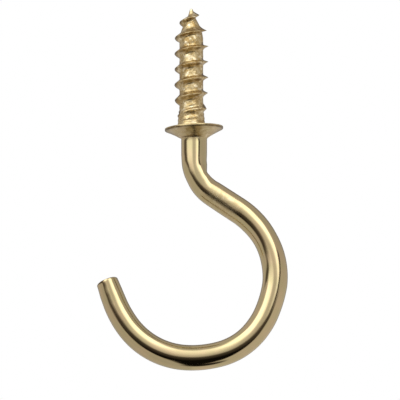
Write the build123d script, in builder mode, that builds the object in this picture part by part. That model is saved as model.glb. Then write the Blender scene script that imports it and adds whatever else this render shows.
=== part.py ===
from build123d import *
from math import ceil, radians, sqrt, tan
import os

# A shouldered cup hook, made from one length of round wire: a wood-screw thread is rolled on one end,
# a collar is upset beside it, and the rest is bent into the hook.
#
# The origin is on the screw's axis, at the collar's seat. +Z runs up the screw to its point, the hook
# hangs below the seat in the XZ plane, and its mouth faces -X. Lengths are in millimetres, turns in degrees.

# Wire
wire_dia = 3.35
end_rounding = 0.6  # the cut end's edge, rounded by tumbling

# Bends of the wire's centreline, from the seat down
stem_offset = 0.37  # the stem stands this far from the screw's axis, towards the hook's back
stem_length = 4.4  # seat to the start of the neck
neck_radius = 4.95
neck_turn = 57
back_length = 4.4  # straight run from the neck to the bowl
bowl_bends = [  # radius and turn of each stretch of the bowl, from the back round to the mouth
    (10.15, 66),
    (14.9, 15),
    (8.95, 49.5),
    (14.1, 19.5),
    (10.0, 51.5),
    (14.5, 13.5),
]
end_length = 3.2  # straight run up to the cut end

# Collar
collar_dia = 7.55
collar_rim = 0.24  # height of the rim between the seat and the cone
collar_slope = 32  # the cone under the rim, from level
rim_edge = 0.07  # the rim's broken edges
throat_rounding = 0.6  # where the cone runs into the stem
stem_stub = 0.5  # the stem just below the cone
cone_end = -collar_rim - (collar_dia - wire_dia) / 2 * tan(radians(collar_slope))
stub_end = cone_end - stem_stub

# Plain shank between the seat and the thread
shank_dia = 3.5
shank_length = 0.75
shank_slope = 0.35  # the sloped foot of the shank at the seat
shank_step = 0.03  # the shank stands this far proud of the rolled part

# Screw
screw_length = 15.8  # seat to point
core_dia = 3.1
core_start = 2.9  # height where the rolled part is down to the core
core_point = 3.9  # length of the core's rounded point
point_dia = 0.26  # the blunt end of the point
point_rings = 4  # circles that the point is drawn through
ring_crowding = 1.4  # above 1, these circles lie closer together towards the point
rolled_sink = 0.25  # how far the rolled part starts inside the plain shank

# Thread
thread_pitch = 2.07
crest_dia = 4.28
crest_height = 10.82  # a height where the crest faces +X
thread_start = 1.2  # height where the thread comes out of the core
crest_start = 4.4  # height where the thread is at its full height
crest_point = 4.6  # length over which the thread shrinks towards the point
thread_gap = 0.35  # the thread stops this far short of the point
ridge_root = 0.6  # width of the ridge where it leaves the core
ridge_waist = 0.28  # its width at the waist, above the hollow of its flanks
waist_share = 0.3  # how far up the ridge the waist is
ridge_sink = 0.2  # how far the ridge's foot lies inside the core
sections_per_turn = 12


def blend(height, low, high, start, end):
    """A value that goes from start, at the low height, to end, at the high height."""
    share = min(max((height - low) / (high - low), 0), 1)
    return start + (end - start) * share


def pointed(height, length, radius):
    """The radius at a height of a rod that ends in a rounded point of some length."""
    depth = min(screw_length - height, length)
    rise = radius - point_dia / 2
    arc_radius = (length**2 + rise**2) / (2 * rise)
    return radius - arc_radius + sqrt(arc_radius**2 - (length - depth) ** 2)


def core_radius(height):
    """The radius of the rolled part between the ridges."""
    if height < core_start:
        return blend(height, shank_length, core_start, shank_dia / 2 - shank_step, core_dia / 2)
    return pointed(height, core_point, core_dia / 2)


def ridge_height(height):
    """How far the thread's crest stands out of the core."""
    fading = blend(height, shank_length, crest_start, 0, (crest_dia - core_dia) / 2)
    shrinking = pointed(height, crest_point, crest_dia / 2) - pointed(height, core_point, core_dia / 2)
    return min(fading, shrinking)


def add_core():
    """The rolled part without its thread: a taper, a cylinder and a rounded point."""
    point_start = screw_length - core_point
    with BuildSketch(Plane.XZ) as profile:
        with BuildLine():
            Polyline(
                (0, shank_length - rolled_sink),
                (shank_dia / 2 - shank_step, shank_length - rolled_sink),
                (shank_dia / 2 - shank_step, shank_length),
                (core_dia / 2, core_start),
                (core_dia / 2, point_start),
                (0, point_start),
                close=True,
            )
        make_face()
    revolve(profile.sketch, axis=Axis.Z)
    rings = []
    for i in range(point_rings + 1):
        height = screw_length - core_point * (1 - i / point_rings) ** ring_crowding
        with BuildSketch(Plane.XY.offset(height)) as ring:
            Circle(core_radius(height))
        rings.append(ring.sketch)
    loft(rings)


def ridge_section(height):
    """The ridge's section at a height, in the plane through the axis that the thread has turned to."""
    turn = 360 * (height - crest_height) / thread_pitch
    outward = Vector(1, 0, 0).rotate(Axis.Z, turn)
    size = ridge_height(height) / ((crest_dia - core_dia) / 2)
    root = core_radius(height)
    foot = root - ridge_sink * size
    waist = root + ridge_height(height) * waist_share
    crest = root + ridge_height(height)
    flank = (ridge_root - ridge_waist) / 2 / (waist_share * (crest_dia - core_dia) / 2)  # slope below the waist
    half_foot = size * (ridge_root / 2 + flank * ridge_sink)
    half_waist = size * ridge_waist / 2
    with BuildSketch(Plane((0, 0, height), x_dir=outward, z_dir=outward.cross(Vector(0, 0, 1)))) as section:
        with BuildLine():
            Polyline(
                (foot, -half_foot),
                (waist, -half_waist),
                (crest, 0),
                (waist, half_waist),
                (foot, half_foot),
                close=True,
            )
        make_face()
    return section.sketch


def add_thread():
    """The thread: a ridge that winds round the core, one loft for each turn."""
    low = thread_start
    turns = []
    while low < screw_length - thread_gap:
        high = min(low + thread_pitch, screw_length - thread_gap)
        steps = ceil(sections_per_turn * (high - low) / thread_pitch)
        heights = [low + (high - low) * i / steps for i in range(steps + 1)]
        turns.append(loft([ridge_section(height) for height in heights], mode=Mode.PRIVATE))
        low = high
    add(turns)


def add_collar():
    """The collar: a flat seat, a thin rim and a cone that runs into the stem."""
    stem_side = stem_offset + wire_dia / 2
    rim_side = stem_offset + collar_dia / 2
    with BuildSketch(Plane.XZ) as profile:
        with BuildLine():
            Polyline(
                (stem_offset, 0),
                (rim_side, 0),
                (rim_side, -collar_rim),
                (stem_side, cone_end),
                (stem_side, stub_end),
                (stem_offset, stub_end),
                close=True,
            )
        make_face()
        rim_corners = profile.vertices().group_by(Axis.X)[-1]
        chamfer(rim_corners, rim_edge)
        throat = profile.vertices().sort_by_distance((stem_side, cone_end))[0]
        fillet(throat, throat_rounding)
    revolve(profile.sketch, axis=Axis((stem_offset, 0, 0), (0, 0, 1)))


def add_hook():
    """The stem, the neck, the straight back and the bowl, swept along lines and tangent arcs."""
    with BuildLine(Plane.XZ) as path:
        stem = Line((stem_offset, stub_end), (stem_offset, -stem_length))
        neck = JernArc(stem @ 1, stem % 1, neck_radius, neck_turn)
        stretch = Line(neck @ 1, neck @ 1 + neck % 1 * back_length)
        for radius, turn in bowl_bends:
            stretch = JernArc(stretch @ 1, stretch % 1, radius, -turn)
        stretch = Line(stretch @ 1, stretch @ 1 + stretch % 1 * end_length)
    with BuildSketch(Plane(stem @ 0, z_dir=stem % 0)) as section:
        Circle(wire_dia / 2)
    sweep(section.sketch, path=path.wire())
    return stretch @ 1


with BuildPart() as cup_hook:
    add_collar()
    wire_end = add_hook()
    cut_face = cup_hook.faces().filter_by(GeomType.PLANE).sort_by_distance(wire_end)[0]
    fillet(cut_face.edges(), end_rounding)
    with BuildSketch(Plane.XY):
        Circle(shank_dia / 2)
    extrude(amount=shank_length)
    shank_foot = cup_hook.edges().filter_by(GeomType.CIRCLE).filter_by_position(Axis.Z, 0, 0)
    chamfer(shank_foot.sort_by(SortBy.RADIUS)[0], shank_slope)
    add_core()
    add_thread()

cup_hook.part.label = "cup_hook"
os.makedirs("parts", exist_ok=True)
export_step(cup_hook.part, "parts/cup_hook.step")
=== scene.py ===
"""A cup hook: plated wire with a rolled wood-screw thread, an upset collar and an open bowl.

The hook is one closed mesh, and it stands for the solid of the same shape. Its lengths are in millimetres
until the mesh is made, and the origin is on the screw's axis, at the collar's seat.
"""

import random
from math import ceil, cos, exp, pi, radians, sin, sqrt, tan

import bmesh
import bpy
import numpy as np
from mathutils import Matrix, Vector, noise


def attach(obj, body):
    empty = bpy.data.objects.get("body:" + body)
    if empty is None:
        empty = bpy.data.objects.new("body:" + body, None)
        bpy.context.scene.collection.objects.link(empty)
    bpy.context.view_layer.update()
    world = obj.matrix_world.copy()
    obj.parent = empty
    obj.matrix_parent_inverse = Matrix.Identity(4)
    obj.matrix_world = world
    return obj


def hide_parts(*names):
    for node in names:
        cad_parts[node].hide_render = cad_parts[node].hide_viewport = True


MM = 0.001
FULL_TURN = 2 * pi
DEGREES = 180 / pi
AROUND = 120  # points round the wire and the screw

# Wire
WIRE_DIA = 3.35
STEM_OFFSET = 0.37  # the stem stands this far from the screw's axis
STEM_TOP = -1.85
STEM_LOW = -4.4
NECK_RADIUS = 4.95
NECK_TURN = 57
BACK_LENGTH = 4.4
# Radius and turn of each stretch of the bowl
BOWL_BENDS = [(10.15, 66), (14.9, 15), (8.95, 49.5), (14.1, 19.5), (10.0, 51.5), (14.5, 13.5)]
END_LENGTH = 3.2
RING_STEP = 0.2  # the most between two rings along the wire
# Distance from the seat, the wire's width in its plane, and how far it strays to the inside of the neck
WIDTHS = [
    (0, 3.40, 0), (3.6, 3.37, 0), (5.2, 3.20, 0), (6.6, 2.99, -0.03), (8.0, 3.14, -0.05), (9.6, 3.34, -0.05),
    (11.6, 3.38, -0.07), (13.4, 3.40, -0.08), (16, 3.34, -0.12), (19, 3.22, -0.09), (22, 3.29, -0.05),
    (25, 3.28, 0.01), (28, 3.26, -0.05), (31, 3.29, -0.09), (34, 3.28, -0.04), (37, 3.31, 0), (43, 3.32, 0),
    (48, 3.30, 0), (52, 3.24, 0), (54, 3.16, 0), (55.6, 3.06, -0.02), (56.6, 2.92, -0.07),
    (57.5, 2.82, -0.09),
]
# Distance from the seat, and how far the inside of the neck stands out there or, below 0, is pressed in
NECK_PINCH = [(4.3, 0.0), (5.0, 0.07), (5.7, 0.03), (6.5, -0.10), (7.3, -0.05), (8.2, 0.0)]
# Distance from the seat, and a power that makes the inside of the neck squarer the further it is below 1
NECK_PRESS = [(5.2, 1.0), (6.4, 0.74), (7.6, 0.74), (8.8, 1.0)]
WIRE_WAVES = [(0.004, 5, 0.9), (0.0015, 1.5, 0.35)]  # depth, stretch along the wire and size round it
SCUFFS = 60
SCUFF_SEED = 11
# Distance along the wire, angle, length, width and depth of a scuff
SCUFF_RANGES = [(3, 58), (0, FULL_TURN), (0.25, 1.1), (0.15, 0.5), (0.002, 0.008)]
SCUFF_REACH = 2.5  # a scuff reaches this many of its lengths along the wire
# Lines scored along the wire: from and to, degrees from the inside of the neck, width and depth
SCORED_LINES = [
    (35.5, 42.0, -64, 0.07, 0.008), (39.0, 43.5, -75, 0.05, 0.005), (44.5, 50.0, -72, 0.05, 0.004),
    (17.0, 23.5, -62, 0.06, 0.005), (29.0, 34.5, -50, 0.05, 0.004), (8.5, 13.0, -118, 0.06, 0.006),
    (9.0, 14.0, -104, 0.05, 0.005), (10.0, 16.0, -96, 0.05, 0.004), (51.0, 56.0, -60, 0.06, 0.005),
]
SCRAPED_IN = (7.5, 10.0)  # the back starts to be scraped dull between these distances
SCRAPED_OUT = (15.0, 13.0)  # and is bright again at the first of these
SCRAPED = 0.30
# For the drawing marks, this length along the wire counts as much as one radius across it
DRAWN_STRETCH = 45

# Cut end
END_ROUNDING = 0.34
END_FACE = 0.92  # share of the rounding's length where the flat of the end begins
END_EDGE = 0.12  # how far the edge is drawn in all round
END_WORN = 0.38  # and how much further on its inner and outer sides
# How dark one side of the cut end's rounded edge is painted
END_DARKENING = 0.95

# Collar
COLLAR_DIA = 7.53
COLLAR_TILT = 2.6
COLLAR_OFFSET = 0.35  # the rim's middle stands this far from the screw's axis
COLLAR_OVAL = 0.012  # the rim is this share longer along the hook's plane
COLLAR_WAVE = 0.012  # and waves up and down by this much
COLLAR_DULL = 0.3
RIM_TOP_EDGE = 0.03  # radius of the rim's upper edge
RIM_LOW_EDGE = 0.12  # radius of its lower edge
RIM_FACE = (-0.09, -0.17)  # heights of the rings between these edges
RIM_FOOT = -0.20  # height of the lower edge's centre
RIM_SHADE = -0.25  # height of the painted shade under the rim
CONE_SLOPE = 28
CONE_SAG = 0.05
CONE_LUMPS = 0.035
THROAT = 0.32  # how far out the cone starts to round into the stem
THROAT_DROP = 0.13  # how much further the throat drops than the cone would
THROAT_END = 2  # the throat ends with the wire's width at this distance from the seat
THROAT_SHADE = -1.38  # height of the painted shade in the throat
SHANK_FLARE = [(0.01, 0.62), (0.02, 0.52), (0.04, 0.42)]  # how far the shank has spread at these heights
FOOT_START = 0.08  # the shank has spread this far where its rounded foot starts
FOOT_TOP = 0.33  # height where it starts
FOOT_DROP = 0.29
FOOT_WIDTH = 0.24
SEAT_RISE = 0.035  # the seat is this much higher at the foot than at the rim
SEAT_MARGIN = 0.10  # the seat's rings are spread up to this far inside the rim

# Screw
SCREW_LENGTH = 15.8
POINT_ROUNDING = 0.1
SCREW_LOW = 0.7  # the rows that wind with the thread start here
SCREW_HIGH = SCREW_LENGTH - POINT_ROUNDING
CORE_DIA = 3.1
CORE_START = 2.9
SHANK_DIA = 3.5
SHANK_TOP = 0.75
# Height, and the core's radius from the last full one to the point
CORE_TIP = [
    (11.7, 1.55), (12.2, 1.50), (12.7, 1.37), (13.2, 1.19), (13.65, 1.01), (14.1, 0.79), (14.5, 0.59),
    (14.86, 0.43), (15.25, 0.30), (15.55, 0.22), (15.8, 0.13),
]
PITCH = 2.07
CREST_HEIGHT = 10.82
# The ridge, by turns from the crest at CREST_HEIGHT: the crest's radius, the width above and below it, and a
# power that makes the flanks hollow
RIDGE = [
    (-4.6, 1.74, 0.10, 0.10, 1.0),
    (-4.3, 1.84, 0.40, 0.30, 1.2),
    (-4.0, 2.00, 0.75, 0.45, 1.2),
    (-3.5, 2.16, 0.75, 0.60, 1.2),
    (-3.0, 2.15, 0.36, 0.50, 1.4),
    (-2.5, 2.20, 0.62, 0.50, 1.1),
    (-2.0, 2.20, 0.32, 0.42, 1.3),
    (-1.5, 2.18, 0.62, 0.46, 1.1),
    (-1.0, 2.20, 0.30, 0.50, 1.9),
    (-0.5, 2.18, 0.60, 0.46, 1.1),
    (0.0, 2.22, 0.22, 0.60, 2.4),
    (0.5, 2.16, 0.60, 0.44, 1.1),
    (1.0, 2.00, 0.85, 0.24, 2.8),
    (1.5, 1.56, 0.66, 0.50, 1.1),
    (2.0, 1.02, 0.46, 0.24, 1.3),
    (2.25, 0.46, 0.24, 0.20, 1.2),
    (2.4, 0.20, 0.15, 0.15, 1.2),
]
CREST_FLAT = 0.04  # half the width of the crest's blunt edge
# Rows across one pitch, closer together at the crest
ROWS_ABOVE = [0.012, 0.032, 0.06, 0.095, 0.135, 0.18, 0.235, 0.295, 0.36, 0.43, 0.5]
ROWS = [-row for row in reversed(ROWS_ABOVE)] + ROWS_ABOVE
# How deep the marks of the rolling dies go
DIE_MARKS = 0.022
DIE_DENTS = 0.050
DIE_TEARS = 0.010
RUNOUT_DEPTH = 0.030
RUNOUT_PITCH = 0.56

# Finish
PLATE_PALE = (0.550, 0.463, 0.250, 1)
PLATE_WARM = (0.610, 0.474, 0.278, 1)
PLATE_BLOTCH = (0.48, 0.405, 0.235, 1)
PLATE_LINES = (0.58, 0.42, 0.235, 1)
THREAD_DEEP = (0.50, 0.36, 0.16, 1)
THREAD_PALE = (0.66, 0.53, 0.30, 1)
THREAD_FLECKS = (0.88, 0.76, 0.52, 1)
THREAD_HOLLOWS = (0.38, 0.235, 0.075, 1)
# Dark brown for painted shade under the ridges, the rim and in the throat, for some dirt under the ridges,
# and for the darker side of the cut end
SHADE_AND_DIRT_BROWN = (0.13, 0.08, 0.03, 1)
WIRE_ROUGHNESS = (0.07, 0.13)
THREAD_ROUGHNESS = (0.27, 0.41)
# Noise scales: features in a metre, and for the last two in one radius of the wire
GRAIN_SCALE = 2600.0
FLECK_SCALE = 1700.0
HOLLOW_SCALE = 900.0
CLOUD_SCALE = 420.0
LINE_SCALE = 11.0
BLOTCH_SCALE = 3.2
BUMP_HEIGHT = 0.04

# Studio
WALL_LEVEL = 0.64
BOX_LEVEL = 1.85  # how much brighter the soft box is than the wall
BOX_LEFT = (-76, -56)  # degrees over which it fades in on its left
BOX_RIGHT = (23, 33)  # and out on its right
BOX_FOOT = (-8, 26)  # in at its foot
BOX_TOP = (51, 71)  # and out at its top
BOX_LEAN = 0.9  # its right edge lies this many degrees further right for each degree up
BOX_LEAN_TOP = 28  # as far up as this
# Directions, each in degrees to the right and up
LENS = (2, 8.7)
BELOW = (45, -80)
BACKDROP = (180, 20)
WALL_TINT = (1.0, 0.965, 0.95, 1)
BOX_TINT = (0.985, 1.0, 1.0, 1)
DARK_TINT = (1.0, 0.85, 0.75, 1)
PAPER = (0.85, 0.85, 0.85, 1)
WHITE = (1, 1, 1, 1)
PAPER_GLOW = 0.35  # how much light the floor adds to what the camera sees
FLOOR_RADIUS = 3000
FLOOR_HEIGHT = -200

# Camera
CAMERA_RISE = 8.7  # it looks up by this many degrees
CAMERA_DISTANCE = 900
CAMERA_AIM = (1.135, 0, -9.55)
PICTURE_WIDTH = 52.18
SENSOR_WIDTH = 36


def rise(value, low, high):
    """A smooth step, from 0 at low to 1 at high. It goes the other way where high is the lower one."""
    share = min(max((value - low) / (high - low), 0.0), 1.0)
    return share * share * (3 - 2 * share)


def smooth(share):
    """A smooth step from 0 to 1."""
    return rise(share, 0, 1)


def band(value, middle, width):
    """1 at the middle, fading to 0 on both sides."""
    return exp(-(((value - middle) / width) ** 2))


def keyed(keys, place, column=1):
    """The value at a place between rows of keys."""
    return float(np.interp(place, [key[0] for key in keys], [key[column] for key in keys]))


def rough(x, y, z, size, octaves=3):
    """Smooth noise, about -1 to 1, with features of some size."""
    return noise.fractal(Vector((x / size, y / size, z / size)), 0.9, 2.0, octaves)


def angle_between(angle, middle):
    """How far an angle is from a middle, up to half a turn either way."""
    return (angle - middle + pi) % FULL_TURN - pi


def angles_around():
    """The angle of each point of a ring."""
    return [FULL_TURN * k / AROUND for k in range(AROUND)]


class Skin:
    """Collects the points and faces of the hook's skin, with what the finish needs at each point."""

    def __init__(self):
        self.points = []
        self.faces = []
        self.rolled = []
        self.drawn = []
        self.shade_and_dirt = []

    def add(self, point, rolled, drawn, shade_and_dirt=0.0):
        """Adds a point: rolled is 0 on bright wire and 1 on the thread, drawn is where the marks are read,
        and the last is how much dark brown is painted there for painted shade and dirt.
        """
        self.points.append(point)
        self.rolled.append(rolled)
        self.drawn.append(drawn)
        self.shade_and_dirt.append(shade_and_dirt)
        return len(self.points) - 1

    def face(self, *corners):
        """Adds a face, less any corner that comes twice in a row."""
        ring = [corner for k, corner in enumerate(corners) if corner != corners[k - 1]]
        if len(set(ring)) >= 3:
            self.faces.append(ring)

    def bridge(self, upper, lower):
        """Joins two rings of points."""
        for k in range(AROUND):
            n = (k + 1) % AROUND
            self.face(upper[k], upper[n], lower[n], lower[k])


# Screw

def core_radius(height):
    """The screw's radius between the ridges: a taper from the shank, a straight length and the point."""
    if height > CORE_TIP[0][0]:
        return keyed(CORE_TIP, height)
    if height < CORE_START:
        share = rise(height, SHANK_TOP, CORE_START)
        return SHANK_DIA / 2 + (CORE_DIA - SHANK_DIA) / 2 * share
    return CORE_DIA / 2


def ridged_radius(height, angle):
    """The screw's radius at a height and an angle round its axis, before wear."""
    core = core_radius(height)
    turns = (height - CREST_HEIGHT) / PITCH - angle / FULL_TURN
    nearest = round(turns)
    offset = (turns - nearest) * PITCH
    place = nearest + angle / FULL_TURN
    if not RIDGE[0][0] < place < RIDGE[-1][0]:
        return core
    crest = max(keyed(RIDGE, place, 1) - core, 0)
    width = keyed(RIDGE, place, 2 if offset > 0 else 3)
    share = min(max(1 - (abs(offset) - CREST_FLAT) / width, 0), 1)
    return core + crest * share ** keyed(RIDGE, place, 4)


def scar(height, angle):
    """Marks of the rolling dies: dents and torn skin, longer round the screw than along it."""
    x, y = cos(angle), sin(angle)
    fade = rise(height, SCREW_LENGTH, SCREW_LENGTH - 2) * rise(height, 0.7, 1.9)
    marks = rough(x * 1.2, y * 1.2, height * 1.9, 0.5)
    dents = max(rough(x * 1.6 + 7, y * 1.6, height * 1.3, 0.30) - 0.12, 0)
    tears = rough(x * 2.0, y * 2.0 + 3, height * 2.6, 0.24, 2)
    return fade * (DIE_MARKS * marks - DIE_DENTS * dents + DIE_TEARS * tears)


def runout(height, angle):
    """Shallow rings that the dies leave where the thread fades."""
    fade = rise(height, 0.55, 0.85) * rise(height, 3.4, 2.5)
    wave = sin(FULL_TURN * (height / RUNOUT_PITCH - angle / FULL_TURN) + 1.3 * sin(angle * 2))
    return RUNOUT_DEPTH * fade * wave


def screw_shade_and_dirt(height, angle, offset):
    """Painted shade and some dirt on the screw, at some offset above the middle of the ridge: a dark line
    under each ridge, and painted shade on the upper flanks at the left and right and on the crests at the
    left.
    """
    x, y = cos(angle), sin(angle)
    # A dark line under each ridge at the front and the back: painted shade, with some dirt
    under_ridge = 0.55 * band(offset, -0.22, 0.11) * rise(height, 1.6, 3.1)
    under_ridge *= 0.65 + 0.6 * rough(x * 1.5, y * 1.5, height * 0.7, 0.5)
    under_ridge *= smooth(1.7 * abs(y) - 0.55)
    # Painted shade on the upper flanks at the left and right sides, and on the crests at the left
    upper_flank = rise(offset, 0, 0.06) * rise(offset, 0.62, 0.47)
    at_sides = 0.8 * upper_flank * rise(abs(x), 0.78, 0.94)
    on_crest = band(offset, 0, 0.18) * rise(x, -0.78, -0.94)
    return max(under_ridge + at_sides, on_crest)


def around_screw(angle, height):
    """Where the rolling marks are read: they run round the screw."""
    return (0.35 * cos(angle), 0.35 * sin(angle), height)


def add_screw(skin):
    """The screw, in rows that wind up it with the thread. Returns its lowest ring."""
    found = {}

    def spot(step, height):
        return step % AROUND, round(height, 5)

    def corner(step, row):
        """The point at a step round the screw and a row across the pitch, made when it is first asked for."""
        height = CREST_HEIGHT + PITCH * (step / AROUND + ROWS[row])
        height = min(max(height, SCREW_LOW), SCREW_HIGH)
        if spot(step, height) not in found:
            angle = FULL_TURN * step / AROUND
            flat = angle % FULL_TURN
            radius = ridged_radius(height, flat) + scar(height, flat) + runout(height, flat)
            point = (radius * cos(angle), radius * sin(angle), height)
            rolled = rise(height, 0.4, 0.9)
            # How far painted shade and dirt darken this point
            darkening = screw_shade_and_dirt(height, angle, ROWS[row] * PITCH)
            found[spot(step, height)] = skin.add(point, rolled, around_screw(angle, height), darkening)
        return found[spot(step, height)]

    first = int((SCREW_LOW - CREST_HEIGHT) / PITCH * AROUND) - AROUND
    last = int((SCREW_HIGH - CREST_HEIGHT) / PITCH * AROUND) + AROUND
    for step in range(first, last):
        for row in range(len(ROWS) - 1):
            low_corners = corner(step, row), corner(step + 1, row)
            high_corners = corner(step + 1, row + 1), corner(step, row + 1)
            skin.face(*low_corners, *high_corners)
    add_tip(skin, [found[spot(k, SCREW_HIGH)] for k in range(AROUND)])
    return [found[spot(k, SCREW_LOW)] for k in range(AROUND)]


def add_tip(skin, top):
    """The rounded tip above the screw's highest ring."""
    radius = core_radius(SCREW_HIGH)
    for share in (0.85, 0.55, 0.25):
        height = SCREW_HIGH + POINT_ROUNDING * sqrt(1 - share**2)
        ring = []
        for angle in angles_around():
            point = (radius * share * cos(angle), radius * share * sin(angle), height)
            ring.append(skin.add(point, 1.0, around_screw(angle, height)))
        skin.bridge(ring, top)
        top = ring
    tip = skin.add((0, 0, SCREW_LENGTH), 1.0, around_screw(0, SCREW_LENGTH))
    skin.bridge([tip] * AROUND, top)


# Collar

def foot_rings(shank):
    """Radius, height and tilt share of the rings of the shank's foot."""
    rings = [(shank + spread, height, 0) for spread, height in SHANK_FLARE]
    for k in range(7):
        turn = radians(15 * k)
        radius = shank + FOOT_START + FOOT_WIDTH * (1 - cos(turn))
        rings.append((radius, FOOT_TOP - FOOT_DROP * sin(turn), 0.1 + 0.1 * k))
    return rings


def rim_rings(shank, rim):
    """The same for the seat and the rim."""
    seat_start = shank + FOOT_START + FOOT_WIDTH
    rings = []
    for share in (0.15, 0.35, 0.55, 0.75, 0.9):
        rings.append((seat_start + (rim - SEAT_MARGIN - seat_start) * share, SEAT_RISE * (1 - share), 1))
    for k in range(4):  # the rim's upper edge
        turn = radians(90 - 30 * k)
        rings.append((rim + RIM_TOP_EDGE * (cos(turn) - 1), RIM_TOP_EDGE * (sin(turn) - 1), 1))
    for height in RIM_FACE:
        rings.append((rim, height, 1))
    for k in range(8):  # its lower edge, over to the slope of the cone
        turn = radians((CONE_SLOPE - 90) / 7 * k)
        rings.append((rim + RIM_LOW_EDGE * (cos(turn) - 1), RIM_FOOT + RIM_LOW_EDGE * sin(turn), 1))
    return rings


def cone_rings(start, edge, stem):
    """The same for the cone, which starts at the rim's lower edge, and for the throat."""
    slope = tan(radians(CONE_SLOPE))
    rings = []
    for share in np.linspace(0.03, 1, 14):
        radius = start + (stem + THROAT - start) * share
        height = edge - slope * (start - radius) + CONE_SAG * sin(pi * share)
        rings.append((radius, height, 1 - 0.3 * share))
    throat_top = rings[-1][1]
    for k in range(1, 11):
        share = k / 10
        height = throat_top - THROAT * slope * share * (2 - share) - THROAT_DROP * share**2
        rings.append((stem + THROAT * (1 - share) ** 2, height, 0.7 * (1 - share)))
    return rings


def collar_rings():
    """Radius, height and tilt share of each ring, from the shank out over the rim to the stem."""
    shank = SHANK_DIA / 2
    rim = COLLAR_DIA / 2
    stem = keyed(WIDTHS, THROAT_END) / 2
    above = foot_rings(shank) + rim_rings(shank, rim)
    return above + cone_rings(above[-1][0], above[-1][1], stem)


def ring_middle(height, share):
    """How far a collar ring's middle is from the screw's axis: the stem, the rim and the shank differ."""
    if height > -0.3:
        return COLLAR_OFFSET * smooth(share)
    return COLLAR_OFFSET + (STEM_OFFSET - COLLAR_OFFSET) * (1 - share)


def collar_dullness(radius, height, share):
    """As dull as the thread on the shank, and between thread and wire on the collar."""
    near_stem = rise(radius, 2.9, 2.1) * rise(height, 0, -0.3)
    return min(COLLAR_DULL * share + rise(height, 0.1, 0.6) + 0.35 * near_stem, 1.0)


def collar_shade(radius, height, angle):
    """Painted shade under the rim, darker on the left, and at the front in the throat."""
    x, y = cos(angle), sin(angle)
    # Painted shade under the rim, a little darker on the left
    darkening = (0.86 - 0.14 * x) * band(height, RIM_SHADE, 0.10) * rise(radius, 3.0, 3.5)
    # Painted shade at the front of the throat, where the stem meets the cone
    darkening += 0.9 * band(height, THROAT_SHADE, 0.07) * smooth(-2.2 * y - 0.5 * x - 1.1)
    return max(darkening * (1 + 0.5 * rough(x * 3, y * 3, height, 0.5)), 0)


def add_collar(skin, upper):
    """The shank's foot, the seat, the rim and the cone below it. Returns the last ring."""
    for radius, height, share in collar_rings():
        middle = ring_middle(height, share)
        dull = collar_dullness(radius, height, share)
        lumpy = CONE_LUMPS * share * rise(height, -0.35, -0.5) * rise(radius, 1.75, 2.05)
        ring = []
        for angle in angles_around():
            c, s = cos(angle), sin(angle)
            x = radius * c * (1 + COLLAR_OVAL * share)
            tilted = height + x * tan(radians(COLLAR_TILT)) * share
            wave = COLLAR_WAVE * share * rough(c, s, height, 0.8)
            lump = lumpy * rough(c * radius, s * radius, 4.0, 0.75)
            point = (middle + x, radius * s, tilted + wave + lump)
            # Painted shade under the rim and in the throat
            darkening = collar_shade(radius, height, angle)
            ring.append(skin.add(point, dull, around_screw(angle, height), darkening))
        skin.bridge(upper, ring)
        upper = ring
    return upper


# Hook

def wire_path():
    """Points of the wire's middle line from the collar to its cut end, with their direction and distance."""
    x, z, heading, along = STEM_OFFSET, STEM_TOP, radians(-90), -STEM_TOP
    path = []

    def walk(length, bend):
        """Adds the points of one stretch, straight or evenly bent."""
        nonlocal x, z, heading, along
        steps = max(ceil(length / RING_STEP), 1)
        for _ in range(steps):
            path.append((x, z, heading, along))
            half = bend / steps / 2
            step = length / steps
            chord = step * sin(half) / half if bend else step
            heading += half
            x += chord * cos(heading)
            z += chord * sin(heading)
            heading += half
            along += step

    walk(STEM_TOP - STEM_LOW, 0)
    walk(radians(NECK_TURN) * NECK_RADIUS, radians(NECK_TURN))
    walk(BACK_LENGTH, 0)
    for radius, turn in BOWL_BENDS:
        walk(radians(turn) * radius, -radians(turn))
    walk(END_LENGTH - END_ROUNDING, 0)
    path.append((x, z, heading, along))
    return path


def make_scuffs():
    """Faint knocks in the plate."""
    chance = random.Random(SCUFF_SEED)
    return [[chance.uniform(low, high) for low, high in SCUFF_RANGES] for _ in range(SCUFFS)]


def squared(value, power):
    """Bends a sine or cosine so that the wire's section comes out squarer."""
    return abs(value) ** power * (1 if value > 0 else -1)


def wire_wear(scuffs, along, angle):
    """How far the wire's skin stands out of its round section: waves, less scored lines and scuffs."""
    c, s = cos(angle), sin(angle)
    wear = sum(depth * rough(c, s, along / stretch, size, 2) for depth, stretch, size in WIRE_WAVES)
    for low, high, turned, width, depth in SCORED_LINES:
        if low < along < high:
            off = angle_between(angle, radians(turned)) * WIRE_DIA / 2
            wear -= depth * sin(pi * (along - low) / (high - low)) * band(off, 0, width)
    for at, turned, length, width, depth in scuffs:
        off = angle_between(angle, turned) * WIRE_DIA / 2
        wear -= depth * band(along, at, length) * band(off, 0, width)
    return wear


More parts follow.
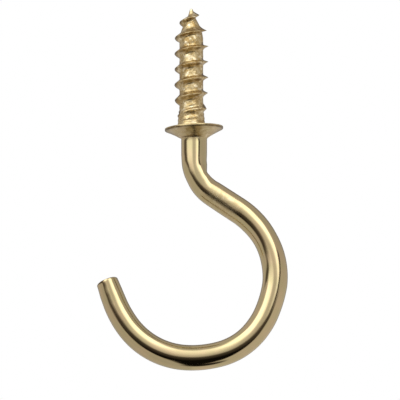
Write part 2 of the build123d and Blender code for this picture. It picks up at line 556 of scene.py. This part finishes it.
def wire_ring(skin, scuffs, place, inset=0.0, worn=0.0, forward=0.0, share=1.0):
    """One ring round the wire.

    At the cut end, inset draws it in all round and worn on two sides, forward moves it along the wire, and
    share shrinks it on the end's face.
    """
    x, z, heading, along = place
    across, stray = keyed(WIDTHS, along) / 2, keyed(WIDTHS, along, 2)
    pinch, press = keyed(NECK_PINCH, along), keyed(NECK_PRESS, along)
    near = [scuff for scuff in scuffs if abs(scuff[0] - along) < SCUFF_REACH * scuff[2]]
    scraped_here = SCRAPED * rise(along, *SCRAPED_IN) * rise(along, *SCRAPED_OUT)
    ring = []
    for angle in angles_around():
        c, s = cos(angle), sin(angle)
        lump = wire_wear(near, along, angle) + pinch * max(c, 0) ** 3 - inset - worn * c**2
        # One side of the cut end's rounded edge is painted darker
        darkening = 0
        if share == 1:
            darkening = END_DARKENING * rise(forward, 0, 0.1) * smooth(3 * c - 0.4) * smooth(5 - 4.2 * c)
        if press < 1 and c > 0:
            c, s = squared(c, press), squared(s, press)
        scraped = scraped_here * smooth(-0.3 * c - s - 0.1)
        # The normal in the plane of the hook points to +X on the stem, where the heading is straight down.
        out = stray + (across + lump) * share * c
        px = x - out * sin(heading) + forward * cos(heading)
        pz = z + out * cos(heading) + forward * sin(heading)
        point = (px, (WIRE_DIA / 2 + lump) * share * s, pz)
        ring.append(skin.add(point, scraped, (c, s, along / DRAWN_STRETCH), darkening))
    return ring


def add_hook(skin, upper):
    """The stem, the neck, the back, the bowl and the rounded end."""
    path = wire_path()
    scuffs = make_scuffs()
    rings = [wire_ring(skin, scuffs, place) for place in path]
    end = path[-1]
    for k in range(1, 9):
        turn = radians(90 / 8 * k)
        drawn_in = 1 - cos(turn)
        forward = END_ROUNDING * END_FACE * sin(turn)
        rings.append(wire_ring(skin, [], end, END_EDGE * drawn_in, END_WORN * drawn_in, forward))
    for share in (0.85, 0.6, 0.35, 0.12):
        forward = END_ROUNDING * (END_FACE + (1 - END_FACE) * (1 - share**2))
        rings.append(wire_ring(skin, [], end, END_EDGE, END_WORN, forward, share))
    x, z, heading, along = end
    point = (x + cos(heading) * END_ROUNDING, 0, z + sin(heading) * END_ROUNDING)
    middle = skin.add(point, 0.0, (0, 0, along / DRAWN_STRETCH))
    for ring in rings + [[middle] * AROUND]:
        skin.bridge(upper, ring)
        upper = ring


def make_hook():
    """The whole hook as one mesh object."""
    skin = Skin()
    screw_foot = add_screw(skin)
    collar_foot = add_collar(skin, screw_foot)
    add_hook(skin, collar_foot)
    mesh = bpy.data.meshes.new("hook_skin")
    mesh.from_pydata((np.array(skin.points) * MM).tolist(), [], skin.faces)
    for name, values in (("rolled", skin.rolled), ("shade_and_dirt", skin.shade_and_dirt)):
        mesh.attributes.new(name, "FLOAT", "POINT").data.foreach_set("value", values)
    drawn = np.array(skin.drawn, dtype=np.float32).ravel()
    mesh.attributes.new("drawn", "FLOAT_VECTOR", "POINT").data.foreach_set("vector", drawn)
    shaping = bmesh.new()
    shaping.from_mesh(mesh)
    bmesh.ops.recalc_face_normals(shaping, faces=shaping.faces)
    shaping.to_mesh(mesh)
    shaping.free()
    mesh.shade_smooth()
    piece = bpy.data.objects.new("hook_skin", mesh)
    bpy.context.scene.collection.objects.link(piece)
    return piece


# Nodes

def node(tree, kind, **settings):
    """A new node with some settings."""
    made = tree.nodes.new(kind)
    for name, value in settings.items():
        setattr(made, name, value)
    return made


def plug(tree, value, socket):
    """Sets a socket to a number or colour, or links it to another socket."""
    if isinstance(value, bpy.types.NodeSocket):
        tree.links.new(value, socket)
    else:
        socket.default_value = value


def maths(tree, operation, *values):
    """The result of one operation on numbers or sockets."""
    made = node(tree, "ShaderNodeMath", operation=operation)
    for value, socket in zip(values, made.inputs):
        plug(tree, value, socket)
    return made.outputs[0]


def ramp(tree, value, low, high, start=0.0, end=1.0):
    """A smooth step of a value: start below low, end above high."""
    made = node(tree, "ShaderNodeMapRange", interpolation_type="SMOOTHSTEP")
    plug(tree, value, made.inputs["Value"])
    plug(tree, low, made.inputs["From Min"])
    plug(tree, high, made.inputs["From Max"])
    plug(tree, start, made.inputs["To Min"])
    plug(tree, end, made.inputs["To Max"])
    return made.outputs["Result"]


def mixed(tree, factor, first, second, kind="RGBA"):
    """Two colours mixed, or two numbers when the kind is FLOAT."""
    made = node(tree, "ShaderNodeMix", data_type=kind)
    wanted = [socket for socket in made.inputs if socket.enabled]
    for value, socket in zip((factor, first, second), wanted):
        plug(tree, value, socket)
    return next(socket for socket in made.outputs if socket.enabled)


def noise_of(tree, vector, scale, detail=3.0, roughness=0.55):
    """Smooth noise, about 0.3 to 0.7."""
    made = node(tree, "ShaderNodeTexNoise")
    plug(tree, vector, made.inputs["Vector"])
    plug(tree, scale, made.inputs["Scale"])
    plug(tree, detail, made.inputs["Detail"])
    plug(tree, roughness, made.inputs["Roughness"])
    return made.outputs["Fac"]


def skin_value(tree, name, output="Fac"):
    """What the skin holds at each point under a name."""
    return node(tree, "ShaderNodeAttribute", attribute_name=name).outputs[output]


def new_material(name):
    """A material, its nodes and its shader."""
    material = bpy.data.materials.new(name)
    material.use_nodes = True
    return material, material.node_tree, material.node_tree.nodes["Principled BSDF"]


# Finish

def brass_plate():
    """Pale brass plate: bright on the wire, duller, warmer and torn on the rolled thread."""
    material, tree, shader = new_material("brass_plate")
    shader.inputs["Metallic"].default_value = 1.0
    place = node(tree, "ShaderNodeTexCoord").outputs["Object"]
    rolled = skin_value(tree, "rolled")
    drawn = skin_value(tree, "drawn", "Vector")
    fine = noise_of(tree, place, GRAIN_SCALE, 4.0)
    lines = noise_of(tree, drawn, LINE_SCALE, 4.0, 0.7)

    # Bright wire: two tones, with duller blotches and warmer drawing marks
    clouds = ramp(tree, noise_of(tree, place, CLOUD_SCALE), 0.35, 0.65)
    blotches = ramp(tree, noise_of(tree, drawn, BLOTCH_SCALE), 0.46, 0.62, 0.0, 0.6)
    plate = mixed(tree, clouds, PLATE_PALE, PLATE_WARM)
    plate = mixed(tree, blotches, plate, PLATE_BLOTCH)
    plate = mixed(tree, ramp(tree, lines, 0.50, 0.66, 0.0, 0.45), plate, PLATE_LINES)

    # Thread: a deeper gold, with light flecks and brown hollows
    flecks = ramp(tree, noise_of(tree, place, FLECK_SCALE), 0.54, 0.64)
    hollows = ramp(tree, noise_of(tree, place, HOLLOW_SCALE), 0.52, 0.64, 0.0, 0.75)
    gold = mixed(tree, ramp(tree, fine, 0.38, 0.62), THREAD_DEEP, THREAD_PALE)
    gold = mixed(tree, flecks, gold, THREAD_FLECKS)
    gold = mixed(tree, hollows, gold, THREAD_HOLLOWS)
    # Dark brown painted over where the skin holds painted shade and dirt
    colour = mixed(tree, skin_value(tree, "shade_and_dirt"), mixed(tree, rolled, plate, gold), SHADE_AND_DIRT_BROWN)
    plug(tree, colour, shader.inputs["Base Color"])

    wire_roughness = ramp(tree, lines, 0.35, 0.7, *WIRE_ROUGHNESS)
    thread_roughness = ramp(tree, lines, 0.35, 0.65, *THREAD_ROUGHNESS)
    roughness = mixed(tree, ramp(tree, rolled, 0.0, 0.45), wire_roughness, thread_roughness, "FLOAT")
    plug(tree, roughness, shader.inputs["Roughness"])

    # Grain and streaks, strong on the thread alone
    torn = maths(tree, "POWER", rolled, 6.0)
    grain = maths(tree, "MULTIPLY", fine, maths(tree, "MAXIMUM", torn, 0.03))
    streaks = maths(tree, "MULTIPLY", lines, maths(tree, "MAXIMUM", torn, 0.10))
    bump = node(tree, "ShaderNodeBump")
    bump.inputs["Distance"].default_value = BUMP_HEIGHT * MM
    bump.inputs["Strength"].default_value = 0.6
    plug(tree, maths(tree, "ADD", grain, streaks), bump.inputs["Height"])
    plug(tree, bump.outputs["Normal"], shader.inputs["Normal"])
    return material


# Studio

class Tent:
    """A white tent round the hook, drawn on the world in masks of the direction seen.

    Directions are in degrees from straight ahead of the hook: side to the right, and up.
    """

    def __init__(self, tree):
        self.tree = tree
        split = node(tree, "ShaderNodeSeparateXYZ")
        plug(tree, node(tree, "ShaderNodeTexCoord").outputs["Generated"], split.inputs[0])
        self.x, self.y, self.z = split.outputs
        ahead = self.times(self.y, -1.0)
        self.side = self.times(maths(tree, "ARCTAN2", self.x, ahead), DEGREES)
        self.up = self.times(maths(tree, "ARCSINE", self.z), DEGREES)
        # side, skewed so that the right edge of the soft box leans
        lean = self.times(maths(tree, "MINIMUM", self.up, BOX_LEAN_TOP), BOX_LEAN)
        self.leaning = self.beyond(self.side, lean)

    def step(self, value, low, high, start=0.0, end=1.0):
        return ramp(self.tree, value, low, high, start, end)

    def times(self, first, second):
        return maths(self.tree, "MULTIPLY", first, second)

    def beyond(self, value, bound):
        """How far a value is past a bound."""
        return maths(self.tree, "SUBTRACT", value, bound)

    def less(self, value, share):
        """A value, less some share of it."""
        return self.times(value, self.beyond(1.0, share))

    def sloped(self, value, slope, start):
        """A value times a slope, plus a start."""
        return maths(self.tree, "MULTIPLY_ADD", value, slope, start)

    def most(self, *values):
        """The highest of some values."""
        top = values[0]
        for value in values[1:]:
            top = maths(self.tree, "MAXIMUM", top, value)
        return top

    def between(self, value, low, low_soft, high, high_soft):
        """1 between low and high, with a soft edge of some width at each."""
        start = self.step(value, low - low_soft, low + low_soft)
        end = self.step(value, high - high_soft, high + high_soft, 1.0, 0.0)
        return self.times(start, end)

    def away(self, side, up):
        """Degrees between a direction and the one seen."""
        a, b = radians(side), radians(up)
        near = self.times(self.z, sin(b))
        near = self.sloped(self.y, -cos(a) * cos(b), near)
        near = self.sloped(self.x, sin(a) * cos(b), near)
        return self.times(maths(self.tree, "ARCCOSINE", near), DEGREES)

    def wall(self):
        """The wall's level: a little brighter low on the right, and darker high on the right."""
        low_right = self.times(self.step(self.side, -20, 60), self.step(self.up, -15, 10, 1.0, 0.0))
        high_right = self.times(self.step(self.side, 45, 80), self.step(self.up, 5, 30))
        return self.sloped(high_right, -0.09, self.sloped(low_right, 0.09, WALL_LEVEL))

    def soft_box(self):
        """The soft box, dimmer where the lens looks through it and in the gap above the lens."""
        right_foot = self.times(self.step(self.side, 6, 22), self.step(self.up, -10, 12, 0.0, 0.85))
        foot = self.most(self.step(self.up, *BOX_FOOT), right_foot)
        width = self.times(self.step(self.side, *BOX_LEFT), self.step(self.leaning, *BOX_RIGHT, 1.0, 0.0))
        height = self.times(foot, self.step(self.up, *BOX_TOP, 1.0, 0.0))
        gap = self.times(self.between(self.side, -15, 9, 15, 9), self.step(self.up, 10, 70, 0.75, 0.25))
        lens = self.step(self.away(*LENS), 8, 30, 0.50, 0.0)
        return self.less(self.times(width, height), self.most(gap, lens))

    def dark_front(self):
        """The dark place in front of the hook, narrower towards the floor."""
        left_bound = self.most(self.sloped(self.up, -1.1, -74.0), -74.0)
        past_left = self.beyond(self.side, maths(self.tree, "MINIMUM", left_bound, -19.0))
        past_right = self.beyond(self.side, self.sloped(self.up, 0.4, 54.0))
        width = self.times(self.step(past_left, -9, 7), self.step(past_right, -6, 6, 1.0, 0.0))
        fade = self.times(self.step(self.up, -10, 3, 1.0, 0.0), self.step(self.up, -34, -8, 0.99, 0.86))
        return self.times(width, fade)

    def box_edges(self):
        """The dark edges of the soft box."""
        slant = maths(self.tree, "ADD", self.sloped(self.side, 0.33, 30.0), self.up)
        left = self.times(self.between(self.side, -105, 16, -52, 10), self.between(slant, 5, 3.5, 16, 3.5))
        right = self.times(self.between(self.leaning, 32, 3, 43, 4), self.between(self.up, -12, 4, 22, 4))
        return self.most(self.times(left, 0.82), self.times(right, 0.92))

    def level(self):
        """How bright the tent is in each direction."""
        below = self.step(self.away(*BELOW), 7, 18, 0.98, 0.0)
        # The dim backdrop behind the hook darkens the wire's very edges
        backdrop = self.step(self.away(*BACKDROP), 24, 50, 0.50, 0.0)
        lit = self.sloped(self.soft_box(), BOX_LEVEL, self.wall())
        return self.less(lit, self.most(self.dark_front(), below, self.box_edges(), backdrop))


def put_up_tent():
    """Puts the tent round the hook. The camera sees plain white behind the hook."""
    world = bpy.data.worlds.new("studio")
    bpy.context.scene.world = world
    world.use_nodes = True
    tree = world.node_tree
    background = tree.nodes["Background"]
    level = Tent(tree).level()
    seen = node(tree, "ShaderNodeLightPath").outputs["Is Camera Ray"]
    plug(tree, mixed(tree, seen, level, 1.0, "FLOAT"), background.inputs["Strength"])
    # The walls are a touch warmer than the soft box, and the dark places warmer still
    tint = mixed(tree, ramp(tree, level, 0.7, 1.5), WALL_TINT, BOX_TINT)
    tint = mixed(tree, ramp(tree, level, 0.0, 0.5), DARK_TINT, tint)
    plug(tree, mixed(tree, seen, tint, WHITE), background.inputs["Color"])


def lay_floor():
    """A plain pale floor well below the hook, which a screw holds up in the air."""
    mesh = bpy.data.meshes.new("floor")
    shaping = bmesh.new()
    bmesh.ops.create_circle(shaping, cap_ends=True, radius=FLOOR_RADIUS * MM, segments=64)
    shaping.to_mesh(mesh)
    shaping.free()
    floor = bpy.data.objects.new("floor", mesh)
    floor.location = (0, 0, FLOOR_HEIGHT * MM)
    bpy.context.scene.collection.objects.link(floor)
    material, tree, shader = new_material("floor_paper")
    shader.inputs["Base Color"].default_value = PAPER
    shader.inputs["Roughness"].default_value = 0.9
    shader.inputs["Emission Color"].default_value = WHITE
    seen = node(tree, "ShaderNodeLightPath").outputs["Is Camera Ray"]
    plug(tree, maths(tree, "MULTIPLY", seen, PAPER_GLOW), shader.inputs["Emission Strength"])
    mesh.materials.append(material)
    floor.visible_glossy = False


def set_camera():
    """A long lens a little below the hook, looking up at it."""
    slope = radians(CAMERA_RISE)
    data = bpy.data.cameras.new("camera")
    data.sensor_fit = "HORIZONTAL"
    data.sensor_width = SENSOR_WIDTH
    data.lens = SENSOR_WIDTH * CAMERA_DISTANCE / PICTURE_WIDTH
    data.clip_start = 10 * MM
    camera = bpy.data.objects.new("camera", data)
    camera.location = (Vector(CAMERA_AIM) + CAMERA_DISTANCE * Vector((0, -cos(slope), -sin(slope)))) * MM
    camera.rotation_euler = (radians(90) + slope, 0, 0)
    bpy.context.scene.collection.objects.link(camera)
    bpy.context.scene.camera = camera


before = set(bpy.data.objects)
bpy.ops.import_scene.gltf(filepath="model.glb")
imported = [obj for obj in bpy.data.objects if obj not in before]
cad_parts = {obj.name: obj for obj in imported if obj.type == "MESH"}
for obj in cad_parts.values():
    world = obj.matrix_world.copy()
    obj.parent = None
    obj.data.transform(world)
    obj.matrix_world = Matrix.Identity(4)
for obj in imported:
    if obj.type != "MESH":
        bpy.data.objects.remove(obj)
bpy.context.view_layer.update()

hook = make_hook()
hook.data.materials.append(brass_plate())
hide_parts("cup_hook")
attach(hook, "root")

put_up_tent()
lay_floor()
set_camera()
bpy.context.scene.view_settings.view_transform = "Standard"
